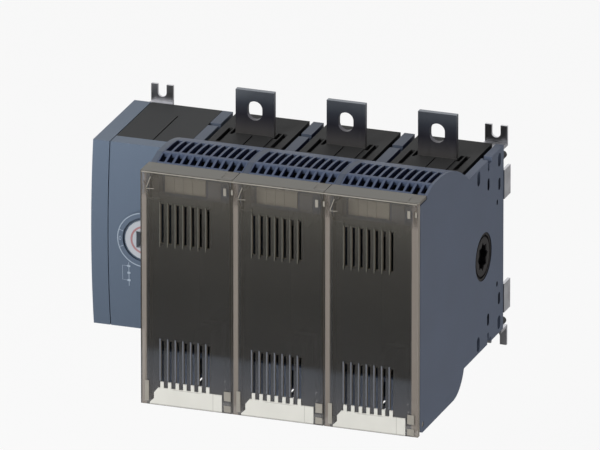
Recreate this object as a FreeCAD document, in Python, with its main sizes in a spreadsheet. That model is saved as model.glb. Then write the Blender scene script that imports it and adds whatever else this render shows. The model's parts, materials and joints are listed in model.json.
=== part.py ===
import FreeCAD, Part

import math
import os
import re

import Sketcher

# Fuse switch disconnector, three poles, drive unit on the left.
# Origin: centre of the four mounting slots, in the mounting plane. +Z up, front towards -Y.

SIZES = {
    # mounting and overall layout
    "slot_span_x": 242.6,
    "slot_span_z": 148.0,
    "side_overhang": 9.4,
    "pole_pitch": 66.0,
    "outer_skin": 2.0,
    "drive_width": 68.2,
    "rear_gap": 13.0,
    "case_rise": 3.4,
    "front_depth": 186.0,
    # side outline
    "slab_half": 67.0,
    "bay_half": 82.6,
    "vent_top": 89.2,
    "lip_setback": 13.4,
    "slant_setback": 26.0,
    "vent_flat": 12.0,
    "ramp_toe": 8.7,
    "ramp_run": 23.0,
    "partition_thick": 4.0,
    "separator_thick": 7.4,
    "bay_shift": 3.65,
    "bore_room": 1.0,
    "groove_width": 5.0,
    "groove_depth": 3.5,
    "groove_place": 38.3,
    "case_gap": 0.9,
    "fit_gap": 0.3,
    "run_gap": 0.08,
    # shaft and rotors
    "shaft_depth": 54.7,
    "shaft_square": 14.0,
    "hub_radius": 16.9,
    "hub_length": 5.0,
    "hub_recess": 0.6,
    "star_radius": 10.4,
    "star_depth": 4.2,
    "hub_ring": 1.6,
    "hub_ring_cut": 1.2,
    "drum_radius": 19.0,
    "drum_length": 40.0,
    "journal_radius": 12.0,
    "bridge_radius": 27.0,
    "bridge_root": 13.0,
    "bridge_thick": 4.0,
    "bridge_half_angle": 36.0,
    # switch cases
    "case_wall": 4.0,
    "case_side": 3.0,
    "floor_depth": 86.0,
    "shoulder": 1.9,
    "shoulder_depth": 5.0,
    "plate_width": 28.6,
    "plate_rise": 0.8,
    "top_slot_width": 3.4,
    "top_slot_rear": 43.0,
    "top_slot_front": 71.0,
    "top_slot_depth": 3.0,
    "top_slot_offset": 19.8,
    "pit_width": 2.8,
    "pit_offset": 15.8,
    # copper
    "lug_width": 27.8,
    "lug_thick": 4.0,
    "lug_depth": 51.0,
    "lug_reach": 98.7,
    "lug_slot_width": 11.0,
    "lug_slot_length": 14.0,
    "lug_slot_drop": 14.4,
    "jaw_gap": 4.8,
    "jaw_plate": 3.0,
    "jaw_low": 19.5,
    "jaw_high": 34.0,
    "jaw_depth": 12.0,
    "bar_low": 29.5,
    "bar_thick": 4.0,
    "bar_width": 24.0,
    "strap_height": 52.0,
    "grip_setback": 36.0,
    "grip_length": 32.0,
    "grip_height": 20.0,
    "grip_gap": 6.4,
    "grip_plate": 3.0,
    "grip_bevel": 3.0,
    "band_width": 7.0,
    "band_thick": 1.2,
    # ventilation
    "vent_wall": 3.0,
    "skirt_drop": 27.0,
    "sill_height": 33.0,
    "vent_pitch": 5.6,
    "vent_setback": 41.2,
    "long_slot_drop": 6.0,
    "vent_slot": 3.9,
    "vent_length": 25.0,
    "vent_count": 11.0,
    # covers
    "lap_gap": 0.4,
    "cover_thick": 3.6,
    "cover_skin": 2.4,
    "cover_drop": 3.4,
    "cover_hang": 0.6,
    "cover_gap": 0.5,
    "cover_rim": 2.5,
    "cover_wall": 2.2,
    "cover_wall_reach": 15.0,
    "cover_roof": 2.4,
    "step_width": 8.4,
    "hinge_inset": 5.7,
    "pin_radius": 2.0,
    "pin_reach": 1.6,
    "cover_slot": 2.4,
    "cover_pitch": 5.5,
    "cover_slot_first": 17.2,
    "cover_slot_count": 7.0,
    "upper_slot_top": 22.9,
    "upper_slot_length": 28.5,
    "lower_slot_low": 13.2,
    "lower_slot_length": 33.8,
    "strip_width": 52.0,
    "strip_height": 12.4,
    "strip_thick": 0.9,
    "strip_lift": 0.6,
    "strip_step": 3.0,
    "tooth_reach": 4.5,
    "latch_width": 12.0,
    "latch_height": 15.0,
    "latch_rise": 0.8,
    "boss_radius": 2.0,
    # drive unit
    "tray_rim": 16.0,
    "panel_bulge": 4.6,
    "panel_wall": 3.5,
    "panel_return": 12.0,
    "shell_width": 12.0,
    "shell_wall": 2.5,
    "dial_x": 39.2,
    "dial_radius": 14.0,
    "dial_proud": 1.0,
    "ring_radius": 20.3,
    "ring_inner": 16.0,
    "socket_square": 12.0,
    "socket_depth": 20.0,
    "flange_radius": 17.0,
    "flange_thick": 3.0,
    "dial_shank": 11.0,
    "gear_radius": 15.0,
    "gear_face": 6.0,
    "gear_hub": 4.0,
    "gear_teeth": 14.0,
    "tooth_height": 1.7,
    "seam_width": 1.0,
    "seam_depth": 0.8,
    "seam_length": 50.0,
    "tooth_share": 0.42,
    # slots in the right wall
    "wall_slot_cut": 4.0,
    "wide_slot": 6.0,
    "narrow_slot": 4.4,
    "small_slot": 3.0,
    "front_slot_place": 65.2,
    "front_slot_low": 55.0,
    "front_slot_high": 65.6,
    "middle_slot_place": 44.7,
    "middle_slot_low": 44.8,
    "middle_slot_high": 53.7,
    "notch_low": 59.0,
    "rear_slot_place": 21.8,
    "rear_slot_low": 37.3,
    "rear_slot_high": 46.1,
    "rear_wide_low": 54.4,
    "rear_wide_high": 64.2,
    "small_slot_place": 26.2,
    "small_slot_low": 27.8,
    "small_slot_high": 31.8,
    # brackets and feet
    "bracket_half": 67.4,
    "sheet": 2.0,
    "tab_width": 16.0,
    "tab_reach": 79.9,
    "mount_slot": 6.5,
    "rail_width": 8.0,
    "flange_low": 31.0,
    "flange_high": 52.0,
    "flange_out": 2.0,
    "foot_radius": 2.6,
    "foot_length": 8.0,
    "foot_height": 60.5,
    "foot_inset": 3.0,
}

# Places worked out from the driving sizes.
PLACES = {
    "wall_x": "slot_span_x / 2 + side_overhang",
    "poles_end": "wall_x - outer_skin",
    "drive_right": "poles_end - 3 * pole_pitch",
    "drive_left": "drive_right - drive_width",
    "drive_inner": "drive_right - separator_thick / 2 - fit_gap",
    "panel_left": "drive_left + shell_width + 2 * fit_gap",
    "dial_place": "drive_left + dial_x",
    "tray_front": "shaft_depth + journal_radius + bore_room + tray_rim",
    "panel_rear": "tray_front + fit_gap",
    "drive_edge": "panel_rear + panel_return",
    "vent_front": "front_depth - slant_setback",
    "vent_rear": "vent_front - vent_flat",
    "lip_depth": "front_depth - lip_setback",
    "lip_top": "cover_top",
    "seat_top": "cover_top - cover_roof - lap_gap",
    "slab_front": "floor_depth + fit_gap",
    "ramp_rear": "slab_front + ramp_toe",
    "ramp_front": "ramp_rear + ramp_run",
    "descent": "vent_top - slab_half",
    "descent_radius": "((vent_rear - slab_front)^2 + descent^2) / (2 * descent)",
    "ramp_rise": "bay_half - slab_half",
    "ramp_radius": "(ramp_run^2 + ramp_rise^2) / (2 * ramp_rise)",
    "skirt_low": "vent_top - skirt_drop",
    "sill_top": "bay_half - sill_height",
    "grip_front": "front_depth - grip_setback",
    "grip_rear": "grip_front - grip_length",
    "cover_lap": "front_depth + lap_gap",
    "cover_depth": "cover_lap + cover_thick",
    "cover_top": "vent_top - cover_drop",
    "cover_bottom": "bay_half + cover_hang",
    "cover_wall_depth": "cover_depth - cover_wall_reach",
    "cover_roof_depth": "lip_depth + lap_gap",
    "cover_edge": "pole_pitch / 2 - cover_gap",
    "panel_radius": "(slab_half^2 + panel_bulge^2) / (2 * panel_bulge)",
    "dial_front": "drive_edge + panel_bulge + dial_proud",
    "hinge_depth": "front_depth - hinge_inset",
    "hinge_height": "bay_half - hinge_inset",
    "case_half": "(pole_pitch - separator_thick) / 2 - case_gap",
    "room_left": "bay_shift + partition_thick / 2 - pole_pitch / 2",
    "room_right": "bay_shift - partition_thick / 2 + pole_pitch / 2",
    "hub_end": "wall_x - hub_recess",
    "hub_start": "hub_end - hub_length",
    "hub_bore": "hub_radius + run_gap",
    "gear_back": "gear_radius + gear_hub",
    "strip_low": "cover_bottom - strip_lift",
    "lug_slot_height": "lug_reach - lug_slot_drop",
    "panel_inside": "drive_edge + (slab_half - panel_wall)^2 / (2 * panel_radius) - panel_wall",
    "flange_sag": "flange_radius^2 / (2 * panel_radius)",
}

POLES = (1, 2, 3)

doc = FreeCAD.newDocument("fuse_switch_disconnector")
sheet = doc.addObject("Spreadsheet::Sheet", "Sizes")
for row, (alias, number) in enumerate(SIZES.items(), start=1):
    sheet.set(f"A{row}", alias)
    sheet.set(f"B{row}", str(number))
    sheet.setAlias(f"B{row}", alias)
doc.recompute()

parts = []


def bound(text):
    """The expression with each size name pointing at its sheet cell."""
    def point(match):
        word = match.group(0)
        if word in PLACES:
            return "(" + bound(PLACES[word]) + ")"
        return "Sizes." + word if word in SIZES else word
    return re.sub(r"[a-z][a-z0-9_]*", point, str(text))


def value(text):
    """The number that an expression gives with the present sizes."""
    return float(sheet.evalExpression(bound(text)))


def origin_feature(body, role):
    for feature in body.Origin.OriginFeatures:
        if feature.Role == role:
            return feature
    raise LookupError(role)


def new_body(name, x=None, z="case_rise"):
    """A body for one sub-part, moved along X to its pole and up by the housing's rise."""
    body = doc.addObject("PartDesign::Body", name)
    body.Label = name
    body.setExpression("Placement.Base.z", bound(z))
    if x is not None:
        body.setExpression("Placement.Base.x", bound(x))
    parts.append(body)
    return body


def arc_through(start, end, radius, turn):
    """The arc between two points: turn is 'left' when its centre lies left of the way."""
    chord = FreeCAD.Vector(end[0] - start[0], end[1] - start[1], 0)
    middle = FreeCAD.Vector((start[0] + end[0]) / 2, (start[1] + end[1]) / 2, 0)
    rise = math.sqrt(max(radius ** 2 - (chord.Length / 2) ** 2, 0.0))
    side = FreeCAD.Vector(-chord.y, chord.x, 0).normalize()
    centre = middle + side * (rise if turn == "left" else -rise)
    angles = [math.atan2(p[1] - centre.y, p[0] - centre.x) for p in (start, end)]
    circle = Part.Circle(centre, FreeCAD.Vector(0, 0, 1), radius)
    first, last = angles if turn == "left" else reversed(angles)
    return Part.ArcOfCircle(circle, first, last)


def draw_circle(sketch, u, v, radius):
    centre = FreeCAD.Vector(value(u), value(v), 0)
    geo = sketch.addGeometry(Part.Circle(centre, FreeCAD.Vector(0, 0, 1), value(radius)))
    fix_point(sketch, geo, 3, u, v)
    index = sketch.addConstraint(Sketcher.Constraint("Radius", geo, value(radius)))
    sketch.setExpression(f"Constraints[{index}]", bound(radius))


def fix_point(sketch, geo, place, u, v):
    for kind, text in (("DistanceX", u), ("DistanceY", v)):
        rule = Sketcher.Constraint(kind, -1, 1, geo, place, value(text))
        index = sketch.addConstraint(rule)
        sketch.setExpression(f"Constraints[{index}]", bound(text))


def draw_outline(sketch, corners):
    """A closed outline. A corner with a radius and a turn starts an arc to the next corner."""
    ends = []
    for here, there in zip(corners, corners[1:] + corners[:1]):
        start = (value(here[0]), value(here[1]))
        end = (value(there[0]), value(there[1]))
        if len(here) == 2:
            line = Part.LineSegment(FreeCAD.Vector(*start, 0), FreeCAD.Vector(*end, 0))
            ends.append((sketch.addGeometry(line), 1, 2))
            continue
        geo = sketch.addGeometry(arc_through(start, end, value(here[2]), here[3]))
        ends.append((geo, 1, 2) if here[3] == "left" else (geo, 2, 1))
        index = sketch.addConstraint(Sketcher.Constraint("Radius", geo, value(here[2])))
        sketch.setExpression(f"Constraints[{index}]", bound(here[2]))
    for (geo, first, last), (following, start_of_next, _) in zip(ends, ends[1:] + ends[:1]):
        sketch.addConstraint(Sketcher.Constraint("Coincident", geo, last, following, start_of_next))
    for (geo, first, last), corner in zip(ends, corners):
        fix_point(sketch, geo, first, corner[0], corner[1])


def draw(body, plane, offset, loops):
    """A sketch on one of the body's planes, offset along its normal: XZ offsets run forward."""
    sketch = body.newObject("Sketcher::SketchObject", body.Name + "_sketch")
    sketch.AttachmentSupport = [(origin_feature(body, plane), "")]
    sketch.MapMode = "FlatFace"
    sketch.setExpression("AttachmentOffset.Base.z", bound(offset))
    for loop in loops:
        if loop[0] == "circle":
            draw_circle(sketch, *loop[1:])
        else:
            draw_outline(sketch, loop)
    sketch.Visibility = False
    return sketch


def pad(body, plane, offset, length, loops):
    feature = body.newObject("PartDesign::Pad", body.Name + "_pad")
    feature.Profile = draw(body, plane, offset, loops)
    feature.setExpression("Length", bound(length))
    body.Tip = feature
    return feature


def pocket(body, plane, offset, length, loops):
    """Cuts from the offset plane along its normal by the length."""
    feature = body.newObject("PartDesign::Pocket", body.Name + "_pocket")
    feature.Profile = draw(body, plane, offset, loops)
    feature.Reversed = True
    feature.setExpression("Length", bound(length))
    body.Tip = feature
    return feature


def repeat(body, feature, step, count, axis="X_Axis"):
    """Copies a feature along an axis, count times in all."""
    pattern = body.newObject("PartDesign::LinearPattern", body.Name + "_row")
    pattern.Originals = [feature]
    pattern.Direction = (origin_feature(body, axis), [""])
    pattern.setExpression("Length", bound(f"({step}) * ({count} - 1)"))
    pattern.setExpression("Occurrences", bound(count))
    body.Tip = pattern
    return pattern


def mirror(body, feature, plane):
    """Adds the mirror image of a feature in one of the body's planes."""
    image = body.newObject("PartDesign::Mirrored", body.Name + "_mirror")
    image.Originals = [feature]
    image.MirrorPlane = (origin_feature(body, plane), [""])
    body.Tip = image
    return image


def rectangle(u_low, v_low, u_high, v_high):
    return [(u_low, v_low), (u_high, v_low), (u_high, v_high), (u_low, v_high)]


def centred(u, v, width, height):
    """A rectangle about a centre point."""
    return rectangle(f"{u} - ({width}) / 2", f"{v} - ({height}) / 2",
                     f"{u} + ({width}) / 2", f"{v} + ({height}) / 2")


def oval(y, low, high, width):
    """An upright slot with round ends."""
    half = f"({width}) / 2"
    return [
        (f"{y} + {half}", f"{low} + {half}"),
        (f"{y} + {half}", f"{high} - {half}", f"{half} * 1.0001", "left"),
        (f"{y} - {half}", f"{high} - {half}"),
        (f"{y} - {half}", f"{low} + {half}", f"{half} * 1.0001", "left"),
    ]


def pole_x(pole):
    return f"poles_end - ({len(POLES)} - {pole} + 0.5) * pole_pitch"


def room_end(pole):
    """Where a fuse bay ends on the right: the last one ends at the outer skin."""
    return "pole_pitch / 2" if pole == POLES[-1] else "room_right"


def bay_outline():
    """The side view of the fuse bays, in front of the switch housings."""
    return [
        ("-slab_front", "-slab_half"),
        ("-slab_front", "slab_half", "descent_radius", "left"),
        ("-vent_rear", "vent_top"),
        ("-vent_front", "vent_top"),
        ("-lip_depth", "lip_top"),
        ("-lip_depth", "seat_top"),
        ("-front_depth", "seat_top"),
        ("-front_depth", "-hinge_height", "hinge_inset", "left"),
        ("-hinge_depth", "-bay_half"),
        ("-ramp_front", "-bay_half", "ramp_radius", "left"),
        ("-ramp_rear", "-slab_half"),
    ]


def side_outline():
    """The whole stepped side view of the outer wall."""
    return [("-rear_gap", "-slab_half"), ("-rear_gap", "slab_half")] + bay_outline()[1:]


def slab_outline():
    return rectangle("-slab_front", "-slab_half", "-rear_gap", "slab_half")


def wall_holes(body, offset, length, bore):
    """The shaft's bore and the cover hinge's hole."""
    pocket(body, "YZ_Plane", offset, length, [
        ("circle", "-shaft_depth", "0", bore),
        ("circle", "-hinge_depth", "-hinge_height", "pin_radius + run_gap"),
    ])


def groove(body, offset, length):
    """The cross groove on the top and bottom edges beside the lugs."""
    cut = pocket(body, "YZ_Plane", offset, length, [
        rectangle("-groove_place - groove_width", "slab_half - groove_depth",
                  "-groove_place", "slab_half + groove_depth")])
    mirror(body, cut, "XY_Plane")


def partition(index):
    """A wall between two poles, thicker beside the switch cases."""
    body = new_body(f"partition_{index}", f"poles_end - ({len(POLES)} - {index} + 1) * pole_pitch")
    pad(body, "YZ_Plane", "bay_shift - partition_thick / 2", "partition_thick", [bay_outline()])
    pad(body, "YZ_Plane", "-separator_thick / 2", "separator_thick", [slab_outline()])
    groove(body, "-separator_thick", "2 * separator_thick")
    wall_holes(body, "-separator_thick", "2 * separator_thick", "journal_radius + bore_room")


def right_side_wall():
    """The outer wall with its vent slots, hub bore and hinge hole."""
    body = new_body("right_side_wall")
    pad(body, "YZ_Plane", "poles_end", "outer_skin", [side_outline()])
    rib = "poles_end - separator_thick / 2"
    pad(body, "YZ_Plane", rib, f"wall_x - ({rib})", [slab_outline()])
    groove(body, "poles_end - separator_thick", "2 * separator_thick")
    wall_holes(body, "poles_end - separator_thick", "2 * separator_thick", "hub_bore")
    notch = centred("-middle_slot_place", "notch_low + wall_slot_cut", "small_slot", "2 * wall_slot_cut")
    slots = pocket(body, "YZ_Plane", "wall_x - wall_slot_cut", "2 * wall_slot_cut", [
        oval("-front_slot_place", "front_slot_low", "front_slot_high", "wide_slot"),
        oval("-middle_slot_place", "middle_slot_low", "middle_slot_high", "narrow_slot"),
        oval("-rear_slot_place", "rear_slot_low", "rear_slot_high", "narrow_slot"),
        oval("-rear_slot_place", "rear_wide_low", "rear_wide_high", "wide_slot"),
        oval("-small_slot_place", "small_slot_low", "small_slot_high", "small_slot"),
        notch,
    ])
    mirror(body, slots, "XY_Plane")


def upper_vent(pole):
    """The slotted roof over one fuse bay."""
    body = new_body(f"upper_vent_{pole}", pole_x(pole))
    outline = [
        ("-lip_depth", "skirt_low"),
        ("-lip_depth + vent_wall", "skirt_low"),
        ("-lip_depth + vent_wall", "lip_top - vent_wall"),
        ("-vent_front", "vent_top - vent_wall"),
        ("-vent_rear", "vent_top - vent_wall", "descent_radius", "right"),
        ("-slab_front", "slab_half - vent_wall"),
        ("-slab_front", "slab_half", "descent_radius", "left"),
        ("-vent_rear", "vent_top"),
        ("-vent_front", "vent_top"),
        ("-lip_depth", "lip_top"),
    ]
    start = "room_left + fit_gap / 2"
    pad(body, "YZ_Plane", start, f"{room_end(pole)} - fit_gap / 2 - ({start})", [outline])
    first = "bay_shift - vent_pitch * (vent_count - 1) / 2"
    top_slot = pocket(body, "XY_Plane", "vent_top - 2 * vent_wall", "4 * vent_wall",
                      [centred(first, "vent_setback - front_depth", "vent_slot", "vent_length")])
    repeat(body, top_slot, "vent_pitch", "vent_count")
    slant_slot = pocket(body, "XY_Plane", "seat_top", "4 * vent_wall",
                        [rectangle(f"{first} - vent_slot / 2", "-lip_depth + vent_wall / 2",
                                   f"{first} + vent_slot / 2", "-vent_front - vent_wall / 3")])
    repeat(body, slant_slot, "vent_pitch", "vent_count")
    last = f"{first} + (vent_count - 2) * vent_pitch"
    pocket(body, "XZ_Plane", "lip_depth - 2 * vent_wall", "3 * vent_wall",
           [rectangle(f"{last} - vent_slot / 2", "lip_top - long_slot_drop",
                      f"{last} + vent_slot / 2", "vent_top")])


def lower_vent(pole):
    """The slotted sill under one fuse bay."""
    body = new_body(f"lower_vent_{pole}", pole_x(pole))
    outline = [
        ("-lip_depth", "-sill_top"),
        ("-lip_depth", "-bay_half"),
        ("-ramp_front", "-bay_half", "ramp_radius", "left"),
        ("-ramp_rear", "-slab_half"),
        ("-slab_front", "-slab_half"),
        ("-slab_front", "-slab_half + vent_wall"),
        ("-ramp_rear - vent_wall / 2", "-slab_half + vent_wall", "ramp_radius", "right"),
        ("-ramp_front", "-bay_half + vent_wall"),
        ("-lip_depth + vent_wall", "-bay_half + vent_wall"),
        ("-lip_depth + vent_wall", "-sill_top"),
    ]
    start = "room_left + fit_gap / 2"
    pad(body, "YZ_Plane", start, f"{room_end(pole)} - fit_gap / 2 - ({start})", [outline])
    first = "bay_shift - vent_pitch * (vent_count - 1) / 2"
    slot = pocket(body, "XY_Plane", "-bay_half - vent_wall", "3 * vent_wall",
                  [centred(first, "vent_setback - front_depth", "vent_slot", "vent_length")])
    repeat(body, slot, "vent_pitch", "vent_count")
    rib_gap = pocket(body, "XZ_Plane", "lip_depth - 2 * vent_wall", "4 * vent_wall",
                     [rectangle(f"{first} - vent_slot / 2", "-bay_half + 2 * vent_wall",
                                f"{first} + vent_slot / 2", "-sill_top - vent_wall")])
    repeat(body, rib_gap, "vent_pitch", "vent_count")


def shoulders(body):
    """Steps down both long edges of a housing's top and bottom faces."""
    cut = pocket(body, "XY_Plane", "slab_half - shoulder_depth", "2 * shoulder_depth", [
        rectangle("case_half - shoulder", "-floor_depth - fit_gap", "pole_pitch / 2", "-rear_gap + fit_gap"),
        rectangle("-pole_pitch / 2", "-floor_depth - fit_gap", "shoulder - case_half", "-rear_gap + fit_gap"),
    ])
    mirror(body, cut, "XY_Plane")


def top_slots(body, near, far):
    """The shallow slots on both sides of the lug, between two depths."""
    half = "top_slot_width / 2"
    cut = pocket(body, "XY_Plane", "slab_half - top_slot_depth", "2 * top_slot_depth", [
        rectangle(f"{place} - {half}", f"-({far})", f"{place} + {half}", f"-({near})")
        for place in ("-top_slot_offset", "top_slot_offset")])
    mirror(body, cut, "XY_Plane")


def switch_case(pole):
    """Front half of the switch housing: its face is the fuse bay's floor."""
    body = new_body(f"switch_case_{pole}", pole_x(pole))
    pad(body, "XZ_Plane", "shaft_depth", "floor_depth - shaft_depth",
        [rectangle("-case_half", "-slab_half", "case_half", "slab_half")])
    room = ["case_half - case_side", "slab_half - case_wall"]
    pocket(body, "XZ_Plane", "shaft_depth", "floor_depth - shaft_depth - case_wall",
           [rectangle(f"-({room[0]})", f"-({room[1]})", *room)])
    slot = pocket(body, "XZ_Plane", "floor_depth - 2 * case_wall", "3 * case_wall",
                  [rectangle("-bar_width / 2", "strap_height - bar_thick",
                             "bar_width / 2", "strap_height")])
    mirror(body, slot, "XY_Plane")
    shoulders(body)
    plate = pad(body, "XY_Plane", "slab_half", "plate_rise", [
        rectangle("-plate_width / 2", "-floor_depth", "-seam_width / 2", "-shaft_depth"),
        rectangle("seam_width / 2", "-floor_depth", "plate_width / 2", "-shaft_depth"),
    ])
    mirror(body, plate, "XY_Plane")
    top_slots(body, "shaft_depth - fit_gap", "top_slot_front")
    pocket(body, "YZ_Plane", "-pole_pitch / 2", "pole_pitch",
           [("circle", "-shaft_depth", "0", "journal_radius + run_gap")])


def switch_base(pole):
    """Rear half of the switch housing with the lugs' slots."""
    body = new_body(f"switch_base_{pole}", pole_x(pole))
    pad(body, "XZ_Plane", "rear_gap", "shaft_depth - rear_gap",
        [rectangle("-case_half", "-slab_half", "case_half", "slab_half")])
    room = ["case_half - case_side", "slab_half - case_wall"]
    pocket(body, "XZ_Plane", "rear_gap + case_wall", "shaft_depth - rear_gap",
           [rectangle(f"-({room[0]})", f"-({room[1]})", *room)])
    slot = pocket(body, "XY_Plane", "slab_half - 2 * case_wall", "3 * case_wall",
                  [rectangle("-lug_width / 2", "-lug_depth", "lug_width / 2", "-lug_depth + lug_thick")])
    mirror(body, slot, "XY_Plane")
    shoulders(body)
    top_slots(body, "top_slot_rear", "shaft_depth + fit_gap")
    pits = pocket(body, "XY_Plane", "slab_half - top_slot_depth", "2 * top_slot_depth", [
        rectangle(f"{place} - pit_width / 2", "-shaft_depth + fit_gap",
                  f"{place} + pit_width / 2", "-top_slot_rear")
        for place in ("-pit_offset", "pit_offset")])
    mirror(body, pits, "XY_Plane")
    pocket(body, "YZ_Plane", "-pole_pitch / 2", "pole_pitch",
           [("circle", "-shaft_depth", "0", "journal_radius + run_gap")])


def switch_jaws(body, depth_low, depth_high):
    """Two contact plates that the moving bridge enters between."""
    for side in ("-jaw_gap / 2 - jaw_plate", "jaw_gap / 2"):
        pad(body, "YZ_Plane", side, "jaw_plate",
            [rectangle(f"-({depth_high})", "jaw_low", f"-({depth_low})", "jaw_high")])


def flip(body):
    """Turns an upper piece over, to serve below the middle."""
    half_turn = FreeCAD.Rotation(FreeCAD.Vector(0, 1, 0), 180)
    body.Placement = FreeCAD.Placement(body.Placement.Base, half_turn)


def terminal(name, pole, below):
    """A terminal bar with its slotted lug outside and contact jaws inside."""
    body = new_body(name, pole_x(pole))
    pad(body, "XZ_Plane", "lug_depth - lug_thick", "lug_thick",
        [rectangle("-lug_width / 2", "bar_low", "lug_width / 2", "lug_reach")])
    rise = "(lug_slot_length - lug_slot_width) / 2"
    reach = "lug_slot_width / 2"
    pocket(body, "XZ_Plane", "lug_depth - 2 * lug_thick", "3 * lug_thick", [[
        (reach, f"lug_slot_height - {rise}"),
        (reach, f"lug_slot_height + {rise}", f"{reach} * 1.0001", "left"),
        (f"-{reach}", f"lug_slot_height + {rise}"),
        (f"-{reach}", f"lug_slot_height - {rise}", f"{reach} * 1.0001", "left"),
    ]])
    switch_jaws(body, "lug_depth - 0.8 * jaw_depth", "lug_depth + 0.2 * jaw_depth")
    if below:
        flip(body)


def fuse_contact(name, pole, below):
    """A strap from the switch to the spring-loaded grip for the fuse link's blade."""
    body = new_body(name, pole_x(pole))
    jaw_near = "2 * shaft_depth - lug_depth - 0.2 * jaw_depth"
    jaw_far = "2 * shaft_depth - lug_depth + 0.8 * jaw_depth"
    bar_rear = "2 * shaft_depth - lug_depth + 1"
    strap = [
        (f"-({bar_rear})", "bar_low"),
        (f"-({bar_rear})", "strap_height"),
        ("-grip_rear", "strap_height"),
        ("-grip_rear", "strap_height - bar_thick"),
        (f"-({bar_rear}) - bar_thick", "strap_height - bar_thick"),
        (f"-({bar_rear}) - bar_thick", "bar_low"),
    ]
    pad(body, "YZ_Plane", "-bar_width / 2", "bar_width", [strap])
    switch_jaws(body, jaw_near, jaw_far)
    pad(body, "YZ_Plane", "-grip_gap / 2 - grip_plate", "grip_gap + 2 * grip_plate",
        [rectangle("-grip_rear - bar_thick", "strap_height - grip_height / 2",
                   "-grip_rear", "strap_height + grip_height / 2")])
    for side in ("-grip_gap / 2 - grip_plate", "grip_gap / 2"):
        pad(body, "YZ_Plane", side, "grip_plate", [[
            ("-grip_front", "strap_height - grip_height / 2 + grip_bevel"),
            ("-grip_front + grip_bevel", "strap_height - grip_height / 2"),
            ("-grip_rear", "strap_height - grip_height / 2"),
            ("-grip_rear", "strap_height + grip_height / 2"),
            ("-grip_front + grip_bevel", "strap_height + grip_height / 2"),
            ("-grip_front", "strap_height + grip_height / 2 - grip_bevel"),
        ]])
    if below:
        flip(body)


def latch_outline(left):
    """The raised finger catch near the cover's top left corner, bent like a Z."""
    near = f"{left} + cover_rim"
    top = "cover_top - latch_height / 2"
    return [
        (near, top),
        (f"{near} + latch_width * 0.35", f"{top} - latch_height * 0.75"),
        (f"{near} + latch_width", f"{top} - latch_height * 0.75"),
        (f"{near} + latch_width", f"{top} - latch_height * 0.86"),
        (f"{near} + latch_width * 0.25", f"{top} - latch_height * 0.86"),
        (f"{near} - latch_width * 0.05", f"{top} - latch_height * 0.2"),
    ]


def fuse_cover(pole):
    """The smoked hinged cover of one fuse bay, with its vent slots and hinge pins."""
    body = new_body(f"fuse_cover_{pole}", pole_x(pole))
    left = "-pole_pitch / 2 + cover_gap / 2"
    right = "pole_pitch / 2 - cover_gap / 2" + (" + outer_skin" if pole == POLES[-1] else "")
    pad(body, "XZ_Plane", "cover_lap", "cover_thick", [rectangle(left, "-cover_bottom", right, "cover_top")])
    pocket(body, "XZ_Plane", "cover_lap", "cover_thick - cover_skin",
           [rectangle(f"{left} + cover_rim", "-cover_bottom + cover_rim",
                      f"{right} - cover_rim", "cover_top - cover_rim")])
    inner = "room_left + fit_gap"
    low, high = "-hinge_height - 1.5 * pin_radius", "seat_top - 2 * cover_roof"
    pad(body, "XZ_Plane", "cover_wall_depth", "cover_wall_reach - cover_skin / 2", [
        rectangle(inner, low, f"{inner} + cover_wall", high),
        rectangle("cover_edge - cover_wall", low, "cover_edge", high),
    ])
    pad(body, "XZ_Plane", "cover_roof_depth", "cover_lap - cover_roof_depth",
        [rectangle(left, "cover_top - cover_roof", f"{right} - step_width", "cover_top")])
    pad(body, "YZ_Plane", "room_left - pin_reach", "pin_reach + fit_gap + cover_wall / 2",
        [("circle", "-hinge_depth", "-hinge_height", "pin_radius")])
    pad(body, "YZ_Plane", "cover_edge - cover_wall / 2",
        f"{room_end(pole)} + pin_reach - cover_edge + cover_wall / 2",
        [("circle", "-hinge_depth", "-hinge_height", "pin_radius")])
    pad(body, "XZ_Plane", "cover_depth", "latch_rise", [latch_outline(left)])
    pad(body, "XZ_Plane", "cover_depth", "latch_rise / 2",
        [("circle", f"{left} + cover_rim + 2 * boss_radius", "-cover_bottom + strip_height / 2", "boss_radius")])
    first = "-cover_slot_first"
    for low, length in (
        ("cover_top - upper_slot_top - upper_slot_length", "upper_slot_length"),
        ("-cover_bottom + lower_slot_low", "lower_slot_length"),
    ):
        slot = pocket(body, "XZ_Plane", "cover_lap", "2 * cover_thick",
                      [rectangle(f"{first} - cover_slot / 2", low,
                                 f"{first} + cover_slot / 2", f"{low} + {length}")])
        repeat(body, slot, "cover_pitch", "cover_slot_count")


def cover_label(pole):
    """The pale label and grip strip on a cover's foot."""
    body = new_body(f"cover_label_{pole}", pole_x(pole))
    left = "-strip_width / 2"
    right = "strip_width / 2"
    low = "-strip_low"
    high = "-strip_low + strip_height"
    pad(body, "XZ_Plane", "cover_depth", "strip_thick", [[
        (left, low),
        (right, low),
        (right, high),
        (f"{left} + 2 * strip_step", high),
        (f"{left} + strip_step", f"{high} - 1.3 * strip_step"),
        (f"{left} + strip_step", f"{high} - 2.7 * strip_step"),
        (left, f"{high} - 3.7 * strip_step"),
    ]])
    tooth = pad(body, "XZ_Plane", "cover_depth", "strip_thick",
                [rectangle("-cover_slot_first - cover_slot / 2", f"{high} - strip_thick",
                           "-cover_slot_first + cover_slot / 2", f"{high} + tooth_reach")])
    repeat(body, tooth, "cover_pitch", "cover_slot_count")


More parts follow.
